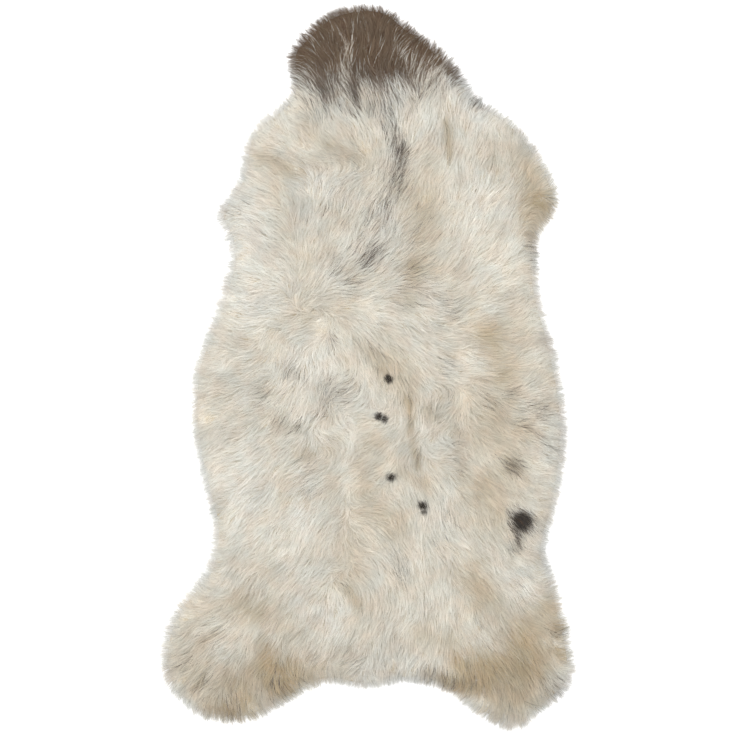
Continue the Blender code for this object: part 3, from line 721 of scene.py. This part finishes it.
def strands_to_mesh(name, strands, chosen):
    """One joined mesh of the chosen strands, with their tones on its corners."""
    corners = ribbon_corners(strands, chosen)
    per_strand = corners.shape[1]
    loops, sizes = ribbon_faces(len(chosen), per_strand)
    mesh = bpy.data.meshes.new(name)
    mesh.vertices.add(corners.shape[0] * per_strand)
    mesh.vertices.foreach_set("co", corners.astype(np.float32).ravel())
    mesh.loops.add(len(loops))
    mesh.loops.foreach_set("vertex_index", loops.astype(np.int32))
    mesh.polygons.add(len(sizes))
    starts = np.concatenate([[0], np.cumsum(sizes)[:-1]])
    mesh.polygons.foreach_set("loop_start", starts.astype(np.int32))
    mesh.update(calc_edges=True)
    mesh.validate()
    mesh.shade_smooth()
    along = np.repeat(np.linspace(0, 1, STRAND_POINTS), 2)[:-1]
    for key in ("pigment", "warmth", "shade"):
        values = np.repeat(strands[key][chosen], per_strand)
        mesh.attributes.new(key, "FLOAT", "POINT").data.foreach_set("value", values.astype(np.float32))
    values = np.tile(along, len(chosen))
    mesh.attributes.new("along", "FLOAT", "POINT").data.foreach_set("value", values.astype(np.float32))
    add_bake_map(mesh, corners.reshape(-1, 3), loops)
    return mesh


def add_bake_map(mesh, corners, loops):
    """A flat map of the mesh from above, for baking its looks."""
    low = corners[:, :2].min(axis=0)
    size = (corners[:, :2].max(axis=0) - low).max()
    places = (corners[loops, :2] - low) / size
    layer = mesh.uv_layers.new(name="OFBake")
    layer.data.foreach_set("uv", places.astype(np.float32).ravel())


def link(name, mesh, material):
    """Put a finished mesh in the scene as a piece of the skin."""
    piece = bpy.data.objects.new(name, mesh)
    bpy.context.scene.collection.objects.link(piece)
    mesh.materials.append(material)
    return piece


def new_tree(name):
    """A new material's node tree with its Principled shader and its output."""
    material = bpy.data.materials.new(name)
    material.use_nodes = True
    nodes = material.node_tree.nodes
    return material, nodes, material.node_tree.links, nodes["Principled BSDF"], nodes["Material Output"]


def mix_color(nodes, links, kind, share, first, second):
    """A color mix whose inputs are plain values or the outputs of other nodes."""
    mix = nodes.new("ShaderNodeMix")
    mix.data_type = "RGBA"
    mix.blend_type = kind
    for socket, value in ((mix.inputs[0], share), (mix.inputs[6], first), (mix.inputs[7], second)):
        if isinstance(value, bpy.types.NodeSocket):
            links.new(value, socket)
        else:
            socket.default_value = value
    return mix.outputs[2]


def color_ramp(nodes, links, source, stops):
    """A ramp through the given places and colors, in rising order."""
    node = nodes.new("ShaderNodeValToRGB")
    points = node.color_ramp.elements
    points[1].position = stops[-1][0]
    points[1].color = (*stops[-1][1], 1.0)
    points[0].position = stops[0][0]
    points[0].color = (*stops[0][1], 1.0)
    for place, color in stops[1:-1]:
        points.new(place).color = (*color, 1.0)
    links.new(source, node.inputs["Fac"])
    return node.outputs["Color"]


def ramp(nodes, links, source, stops):
    """A gray ramp through the given places and values, in rising order."""
    return color_ramp(nodes, links, source, [(place, (value,) * 3) for place, value in stops])


def noise_texture(nodes, links, scale, detail, stretch=(1, 1, 1)):
    """Noise in the object's own coordinates."""
    place = nodes.new("ShaderNodeTexCoord")
    mapping = nodes.new("ShaderNodeMapping")
    mapping.inputs["Scale"].default_value = stretch
    links.new(place.outputs["Object"], mapping.inputs["Vector"])
    texture = nodes.new("ShaderNodeTexNoise")
    texture.inputs["Scale"].default_value = scale
    texture.inputs["Detail"].default_value = detail
    links.new(mapping.outputs["Vector"], texture.inputs["Vector"])
    return texture.outputs["Fac"]


def attribute(nodes, name):
    """A tone that the mesh carries."""
    node = nodes.new("ShaderNodeAttribute")
    node.attribute_name = name
    return node.outputs["Fac"]


def math_node(nodes, links, kind, first, second, clamp=False):
    """One operation of arithmetic on two plain values or outputs of other nodes."""
    node = nodes.new("ShaderNodeMath")
    node.operation = kind
    node.use_clamp = clamp
    for socket, value in zip(node.inputs, (first, second)):
        if isinstance(value, bpy.types.NodeSocket):
            links.new(value, socket)
        else:
            socket.default_value = value
    return node.outputs["Value"]


def speck_share(nodes, links):
    """How much a place lies in one of the small dark specks; each strand ends it a little apart."""
    place = nodes.new("ShaderNodeTexCoord")
    flat = nodes.new("ShaderNodeMapping")
    flat.inputs["Scale"].default_value = (1.0, 1.0, 0.0)
    links.new(place.outputs["Object"], flat.inputs["Vector"])
    stray = math_node(nodes, links, "MULTIPLY", attribute(nodes, "shade"), SPECK_STRAY)
    total = 0.0
    for speck in SPECKS:
        away = nodes.new("ShaderNodeVectorMath")
        away.operation = "DISTANCE"
        links.new(flat.outputs["Vector"], away.inputs[0])
        away.inputs[1].default_value = (speck.place[0] * CM, speck.place[1] * CM, 0.0)
        share = math_node(nodes, links, "DIVIDE", away.outputs["Value"], speck.radius_mm * MM)
        share = math_node(nodes, links, "ADD", share, stray)
        share = math_node(nodes, links, "SUBTRACT", SPECK_STRAY + 0.9, share, clamp=True)
        share = math_node(nodes, links, "MULTIPLY", share, SPECK_GAIN * speck.strength, clamp=True)
        total = math_node(nodes, links, "MAXIMUM", share, total)
    return total


def wool_material(settings):
    """Wool: cream to tan, grey to brown where it is dark, with painted shade darkening it towards the roots."""
    material, nodes, links, shader, output = new_tree("wool")
    pale = color_ramp(nodes, links, attribute(nodes, "warmth"),
                      ((0.0, settings.cool), (0.5, settings.cream), (1.0, settings.tan)))
    deep = mix_color(nodes, links, "MIX", attribute(nodes, "warmth"), (*settings.grey, 1), (*settings.brown, 1))
    tone = mix_color(nodes, links, "MIX", attribute(nodes, "pigment"), pale, deep)
    tone = mix_color(nodes, links, "MIX", speck_share(nodes, links), tone, (*settings.speck, 1))
    # The shade attribute dims the color: random tone, and the painted shade of the rim and the creases.
    shade = ramp(nodes, links, attribute(nodes, "shade"), ((0.0, 0.62), (1.0, 1.0)))
    tone = mix_color(nodes, links, "MULTIPLY", 1.0, tone, shade)
    # Painted shade at the roots: the lower part of each strand is darkened and warmed, standing in for the shade
    # deep in the pile.
    root_shade = ramp(nodes, links, attribute(nodes, "along"), ((0.0, 1.0), (0.45, 0.25), (0.8, 0.0)))
    depth = mix_color(nodes, links, "MIX", root_shade, (1.0, 1.0, 1.0, 1.0), (*settings.root_shade_tint, 1))
    tone = mix_color(nodes, links, "MULTIPLY", 1.0, tone, depth)
    blush = noise_texture(nodes, links, 38.0, 2.0, (1.0, 1.0, 0.0))
    blush = color_ramp(nodes, links, blush, ((0.36, (0.97, 0.99, 1.0)), (0.5, (1.0, 1.0, 1.0)),
                                             (0.64, (1.0, 0.972, 0.955))))
    tone = mix_color(nodes, links, "MULTIPLY", 1.0, tone, blush)
    fleck = ramp(nodes, links, noise_texture(nodes, links, 900.0, 2.0), ((0.3, 0.9), (0.7, 1.0)))
    tone = mix_color(nodes, links, "MULTIPLY", 1.0, tone, fleck)
    links.new(tone, shader.inputs["Base Color"])
    shader.inputs["Roughness"].default_value = 0.62
    shader.inputs["Specular IOR Level"].default_value = 0.3
    shader.inputs["Sheen Weight"].default_value = 0.05
    shader.inputs["Sheen Roughness"].default_value = 0.5
    through = nodes.new("ShaderNodeBsdfTranslucent")
    links.new(tone, through.inputs["Color"])
    both = nodes.new("ShaderNodeMixShader")
    both.inputs["Fac"].default_value = 0.28
    links.new(shader.outputs["BSDF"], both.inputs[1])
    links.new(through.outputs["BSDF"], both.inputs[2])
    links.new(both.outputs["Shader"], output.inputs["Surface"])
    return material


def underwool_material(settings):
    """Underwool: matted cream, a little dimmer than the combed wool, brown at the neck."""
    material, nodes, links, shader, output = new_tree("underwool")
    cloud = ramp(nodes, links, noise_texture(nodes, links, 60.0, 6.0), ((0.3, 0.0), (0.7, 1.0)))
    pale = mix_color(nodes, links, "MIX", cloud, (*settings.cream, 1), (*settings.tan, 1))
    tone = mix_color(nodes, links, "MIX", attribute(nodes, "pigment"), pale, (*settings.brown, 1))
    fibre = ramp(nodes, links, noise_texture(nodes, links, 700.0, 8.0), ((0.3, 0.45), (0.7, 0.85)))
    tone = mix_color(nodes, links, "MULTIPLY", 1.0, tone, fibre)
    links.new(tone, shader.inputs["Base Color"])
    shader.inputs["Roughness"].default_value = 0.95
    shader.inputs["Specular IOR Level"].default_value = 0.1
    bump = nodes.new("ShaderNodeBump")
    bump.inputs["Strength"].default_value = 0.8
    bump.inputs["Distance"].default_value = 1.5 * MM
    links.new(noise_texture(nodes, links, 500.0, 8.0), bump.inputs["Height"])
    links.new(bump.outputs["Normal"], shader.inputs["Normal"])
    return material


def leather_material(settings):
    """Tanned leather, flesh side: matt suede with clouds, fine nap and faint veins."""
    material, nodes, links, shader, output = new_tree("hide")
    cloud = ramp(nodes, links, noise_texture(nodes, links, 9.0, 6.0), ((0.3, 0.0), (0.72, 1.0)))
    tone = mix_color(nodes, links, "MIX", cloud, (*settings.leather, 1), (*settings.leather_dark, 1))
    nap = ramp(nodes, links, noise_texture(nodes, links, 420.0, 6.0), ((0.25, 0.82), (0.75, 1.0)))
    tone = mix_color(nodes, links, "MULTIPLY", 1.0, tone, nap)
    vein = noise_texture(nodes, links, 14.0, 4.0, (1.0, 0.6, 1.0))
    line = ramp(nodes, links, vein, ((0.47, 1.0), (0.5, 0.88), (0.53, 1.0)))
    tone = mix_color(nodes, links, "MULTIPLY", 1.0, tone, line)
    links.new(tone, shader.inputs["Base Color"])
    shader.inputs["Roughness"].default_value = 0.85
    shader.inputs["Specular IOR Level"].default_value = 0.2
    shader.inputs["Sheen Weight"].default_value = 0.25
    bump = nodes.new("ShaderNodeBump")
    bump.inputs["Strength"].default_value = 0.5
    bump.inputs["Distance"].default_value = 0.4 * MM
    links.new(noise_texture(nodes, links, 350.0, 8.0), bump.inputs["Height"])
    links.new(bump.outputs["Normal"], shader.inputs["Normal"])
    return material


def floor_material(settings):
    """A pale studio floor with the faintest clouds."""
    material, nodes, links, shader, output = new_tree("floor")
    cloud = ramp(nodes, links, noise_texture(nodes, links, 3.0, 3.0), ((0.2, 0.98), (0.8, 1.0)))
    links.new(mix_color(nodes, links, "MULTIPLY", 1.0, (*settings.floor, 1), cloud), shader.inputs["Base Color"])
    shader.inputs["Roughness"].default_value = 0.9
    shader.inputs["Specular IOR Level"].default_value = 0.1
    return material


def cut_cells(bm, faces, cell):
    """Cut flat faces into small square cells, and return the corners inside their outline."""
    geometry = [item for face in faces for item in (face, *face.edges, *face.verts)]
    geometry = list(dict.fromkeys(geometry))
    corners = [item for item in geometry if isinstance(item, bmesh.types.BMVert)]
    for axis in (0, 1):
        normal = Vector((axis == 0, axis == 1, 0.0))
        low = min(corner.co[axis] for corner in corners)
        high = max(corner.co[axis] for corner in corners)
        for cut in range(1, math.ceil((high - low) / cell)):
            point = normal * (low + cut * cell)
            geometry = bmesh.ops.bisect_plane(bm, geom=geometry, dist=cell / 6, plane_co=point,
                                              plane_no=normal)["geom"]
            corners = [c for c in corners if c.is_valid]
    cells = {item for item in geometry if isinstance(item, bmesh.types.BMFace)}
    every = {corner for face in cells for corner in face.verts}
    return [corner for corner in every if cells.issuperset(corner.link_faces)], every


def finished_mesh(name, bm):
    """Turn a finished bmesh into a smooth mesh with its normals outward."""
    bmesh.ops.recalc_face_normals(bm, faces=bm.faces)
    mesh = bpy.data.meshes.new(name)
    bm.to_mesh(mesh)
    bm.free()
    mesh.shade_smooth()
    return mesh


class SheepskinSettings(bpy.types.PropertyGroup):
    """Sizes and colors of the sheepskin that a user may change."""

    strands: IntProperty(name="Strands", description="How many strands of wool are grown",
                         default=184000, min=1000, max=190000)
    seed: IntProperty(name="Seed", description="Which chance the wool grows by", default=5)
    strand_length: FloatProperty(name="Strand length", description="Length of a strand in the open pile",
                                 default=0.036, min=0.01, max=0.08, subtype="DISTANCE", unit="LENGTH")
    strand_width: FloatProperty(name="Strand width", description="Width of a strand at its middle",
                                default=0.00055, min=0.0002, max=0.003, subtype="DISTANCE", unit="LENGTH")
    gathered: FloatProperty(name="Gathered", description="How far strands gather to the points of locks",
                            default=1.0, min=0.0, max=2.0, subtype="FACTOR")
    unruly: FloatProperty(name="Unruly", description="How far tufts and locks stray from the combing",
                          default=1.0, min=0.0, max=4.0, subtype="FACTOR")
    cream: FloatVectorProperty(name="Cream", description="The wool's pale color", subtype="COLOR",
                               size=3, min=0, max=1, default=(0.94, 0.92, 0.85))
    # The cool color serves both the cool patches of the wool and the painted shade of its rim.
    cool: FloatVectorProperty(name="Cool", description="The wool's cool color, at its rim", subtype="COLOR",
                              size=3, min=0, max=1, default=(0.84, 0.85, 0.85))
    # The color that paints shade onto the strands' roots.
    root_shade_tint: FloatVectorProperty(name="Root tint", description="What the roots' color is multiplied by",
                                   subtype="COLOR", size=3, min=0, max=1, default=(0.66, 0.58, 0.48))
    tan: FloatVectorProperty(name="Tan", description="The wool's yellowed color", subtype="COLOR",
                             size=3, min=0, max=1, default=(0.66, 0.55, 0.38))
    grey: FloatVectorProperty(name="Grey", description="The dark strands of the back and the spots",
                              subtype="COLOR", size=3, min=0, max=1, default=(0.13, 0.10, 0.07))
    speck: FloatVectorProperty(name="Speck", description="The small dark specks", subtype="COLOR",
                               size=3, min=0, max=1, default=(0.06, 0.05, 0.04))
    brown: FloatVectorProperty(name="Brown", description="The dark strands of the neck",
                               subtype="COLOR", size=3, min=0, max=1, default=(0.115, 0.066, 0.040))
    leather: FloatVectorProperty(name="Leather", description="The hide's color", subtype="COLOR",
                                 size=3, min=0, max=1, default=(0.66, 0.54, 0.38))
    leather_dark: FloatVectorProperty(name="Leather clouds", description="The hide's darker clouds",
                                      subtype="COLOR", size=3, min=0, max=1, default=(0.52, 0.40, 0.26))
    floor: FloatVectorProperty(name="Floor", description="The studio floor's color", subtype="COLOR",
                               size=3, min=0, max=1, default=(0.93, 0.93, 0.93))
    light: FloatProperty(name="Light", description="Power of the soft lamp over the skin",
                         default=140.0, min=0.0, max=500.0, subtype="POWER", unit="POWER")
    sky: FloatProperty(name="Sky", description="Strength of the even light from all round",
                       default=0.6, min=0.0, max=10.0)


class SHEEPSKIN_OT_leather(bpy.types.Operator):
    """Make the tanned leather sheet in place of the plain hide"""

    bl_idname = "sheepskin.leather"
    bl_label = "Leather"

    def execute(self, context):
        settings = context.scene.sheepskin
        bm = merged("hide")
        flat = [face for face in bm.faces if abs(face.normal.z) > 0.5]
        bmesh.ops.dissolve_faces(bm, faces=[face for face in flat if face.normal.z < 0], use_verts=False)
        bmesh.ops.dissolve_faces(bm, faces=[face for face in bm.faces if face.normal.z > 0.5],
                                 use_verts=False)
        for up in (False, True):
            faces = [face for face in bm.faces if (face.normal.z > 0.5 if up else face.normal.z < -0.5)]
            inner, _ = cut_cells(bm, faces, 12 * MM)
            for corner in inner:
                wave = soft_noise(np.array([corner.co.x]), np.array([corner.co.y]), 30 * MM, 31)[0]
                corner.co.z += 0.15 * MM * (wave if up else (1 + wave))
        piece = link("hide_leather", finished_mesh("hide_leather", bm), leather_material(settings))
        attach(piece, "root")
        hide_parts("hide")
        return {"FINISHED"}


class SHEEPSKIN_OT_underwool(bpy.types.Operator):
    """Make the matted underwool that fills the fleece under its strands"""

    bl_idname = "sheepskin.underwool"
    bl_label = "Underwool"

    def execute(self, context):
        settings = context.scene.sheepskin
        skin = read_skin()
        bm = bmesh.new()
        ring = [bm.verts.new((x, y, HIDE_TOP + 0.5 * MM)) for x, y in skin.rim]
        base = bm.faces.new(ring)
        grown = bmesh.ops.extrude_face_region(bm, geom=[base])["geom"]
        top = next(item for item in grown if isinstance(item, bmesh.types.BMFace))
        inner, every = cut_cells(bm, [top], 6 * MM)
        places = np.array([corner.co[:] for corner in every])
        height = skin.ground.read(skin.height, places[:, 0], places[:, 1]) * 0.7
        height += 1.2 * MM * soft_noise(places[:, 0], places[:, 1], 13 * MM, 21)
        for corner, level in zip(every, height):
            corner.co.z = max(level, HIDE_TOP + 1 * MM)
        bmesh.ops.triangulate(bm, faces=[face for face in bm.faces if len(face.verts) > 4])
        mesh = finished_mesh("underwool", bm)
        places = np.array([corner.co[:] for corner in mesh.vertices])
        values = tones(places[:, 0], places[:, 1])[0]
        mesh.attributes.new("pigment", "FLOAT", "POINT").data.foreach_set("value", values.astype(np.float32))
        piece = link("underwool", mesh, underwool_material(settings))
        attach(piece, "root")
        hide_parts("fleece")
        return {"FINISHED"}


class SHEEPSKIN_OT_wool(bpy.types.Operator):
    """Grow the combed wool in five pieces from the neck to the hind legs"""

    bl_idname = "sheepskin.wool"
    bl_label = "Wool"

    def execute(self, context):
        settings = context.scene.sheepskin
        skin = read_skin()
        count = settings.strands // 1
        strands = grow_strands(skin, settings, count)
        order = np.argsort(-strands["y"][0], kind="stable")
        material = wool_material(settings)
        for name, chosen in zip(WOOL_PIECES, np.array_split(order, len(WOOL_PIECES))):
            piece = link(name, strands_to_mesh(name, strands, chosen), material)
            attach(piece, "root")
            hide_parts("fleece")
        return {"FINISHED"}


class SHEEPSKIN_OT_stage(bpy.types.Operator):
    """Make the pale floor, the soft light and the camera over the skin"""

    bl_idname = "sheepskin.stage"
    bl_label = "Floor, light and camera"

    def execute(self, context):
        settings = context.scene.sheepskin
        bm = bmesh.new()
        bmesh.ops.create_grid(bm, x_segments=1, y_segments=1, size=FLOOR_HALF,
                              matrix=Matrix.Translation((0.0, 0.0, -FLOOR_DROP)))
        floor = link("floor", finished_mesh("floor", bm), floor_material(settings))
        lamp = bpy.data.lights.new("softbox", "AREA")
        lamp.energy = settings.light
        lamp.shape = "SQUARE"
        lamp.size = LAMP_SIZE
        place = bpy.data.objects.new("softbox", lamp)
        place.location = LAMP_PLACE
        place.rotation_euler = Vector(LAMP_PLACE).to_track_quat("Z", "Y").to_euler()
        bpy.context.scene.collection.objects.link(place)
        world = bpy.data.worlds.new("studio")
        world.use_nodes = True
        world.node_tree.nodes["Background"].inputs["Color"].default_value = (1.0, 1.0, 1.0, 1.0)
        world.node_tree.nodes["Background"].inputs["Strength"].default_value = settings.sky
        context.scene.world = world
        lens = bpy.data.cameras.new("camera")
        lens.sensor_width = SENSOR_WIDTH
        lens.lens = SENSOR_WIDTH * CAMERA_PLACE[2] / FRAME_WIDTH
        camera = bpy.data.objects.new("camera", lens)
        camera.location = CAMERA_PLACE
        context.scene.collection.objects.link(camera)
        context.scene.camera = camera
        context.scene.view_settings.view_transform = "Standard"
        return {"FINISHED"}


class SHEEPSKIN_PT_panel(bpy.types.Panel):
    """The sheepskin's sizes and colors, and the steps that make it"""

    bl_idname = "SHEEPSKIN_PT_panel"
    bl_label = "Sheepskin"
    bl_space_type = "VIEW_3D"
    bl_region_type = "UI"
    bl_category = "Sheepskin"

    def draw(self, context):
        for name in SheepskinSettings.__annotations__:
            self.layout.prop(context.scene.sheepskin, name)
        for step in STEPS:
            self.layout.operator(step.bl_idname)


STEPS = (SHEEPSKIN_OT_leather, SHEEPSKIN_OT_underwool, SHEEPSKIN_OT_wool, SHEEPSKIN_OT_stage)
CLASSES = (SheepskinSettings, *STEPS, SHEEPSKIN_PT_panel)


def register():
    """Add the settings, the steps and the panel to Blender."""
    for kind in CLASSES:
        bpy.utils.register_class(kind)
    bpy.types.Scene.sheepskin = PointerProperty(type=SheepskinSettings)


def unregister():
    """Take the panel, the steps and the settings out again."""
    del bpy.types.Scene.sheepskin
    for kind in reversed(CLASSES):
        bpy.utils.unregister_class(kind)


def main():
    """Register the add-on and make every piece in order."""
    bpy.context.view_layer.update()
    register()
    bpy.ops.sheepskin.leather()
    bpy.ops.sheepskin.underwool()
    bpy.ops.sheepskin.wool()
    bpy.ops.sheepskin.stage()


if __name__ == "__main__":
    main()
